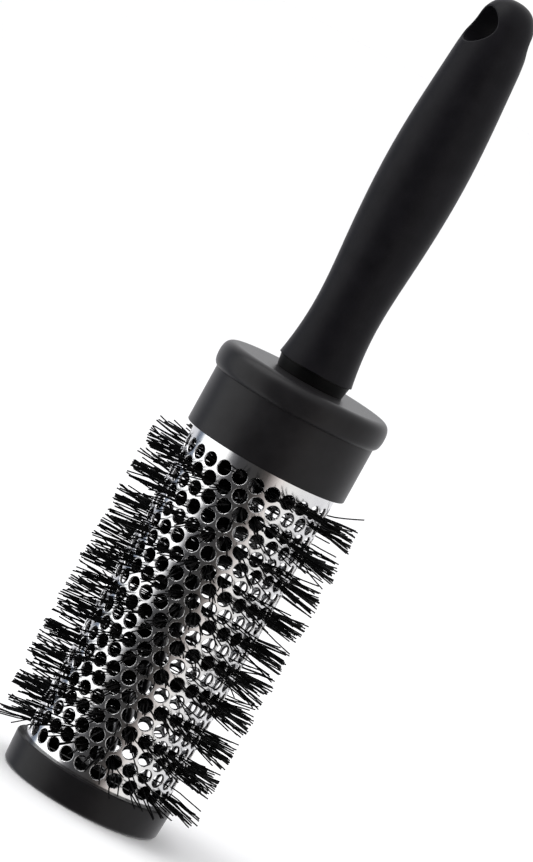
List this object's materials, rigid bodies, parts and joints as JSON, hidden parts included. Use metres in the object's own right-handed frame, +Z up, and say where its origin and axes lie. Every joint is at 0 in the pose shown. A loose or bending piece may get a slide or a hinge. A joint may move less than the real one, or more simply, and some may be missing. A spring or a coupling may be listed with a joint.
{
  "type": "round barrel brush",
  "caption": "Round thermal hair brush: a pierced metal barrel with nylon bristles through its holes, an end cap, a beaded collar and a soft-grip handle with a hanging hole.",
  "frame": {"origin": "centre of the end cap's flat lower face", "axes": "+Z up the brush's axis from the end cap to the handle's tip; Y along the hanging hole's axis"},
  "size_m": [0.063, 0.063, 0.2439],
  "materials": {
    "soft_touch_grip": "matte soft-touch",
    "soft_touch_plastic": "matte soft-touch",
    "hard_plastic": "satin moulded",
    "barrel_metal": "polished, lightly brushed",
    "bristle_nylon": "smooth nylon",
    "core_steel": "drawn wire"
  },
  "bodies": {
    "root": {"end_cap": "soft_touch_plastic", "end_plug": "hard_plastic", "barrel": "barrel_metal", "core_wire_1": "core_steel", "core_wire_2": "core_steel", "barrel_hub": "hard_plastic", "collar": "soft_touch_plastic", "handle_core": "hard_plastic", "grip": "soft_touch_grip", "bristle_turn_01": "bristle_nylon", "bristle_turn_02": "bristle_nylon", "bristle_turn_03": "bristle_nylon", "bristle_turn_04": "bristle_nylon", "bristle_turn_05": "bristle_nylon", "bristle_turn_06": "bristle_nylon", "bristle_turn_07": "bristle_nylon", "bristle_turn_08": "bristle_nylon", "bristle_turn_09": "bristle_nylon", "bristle_turn_10": "bristle_nylon", "bristle_turn_11": "bristle_nylon", "bristle_turn_12": "bristle_nylon"}
  },
  "joints": []
}
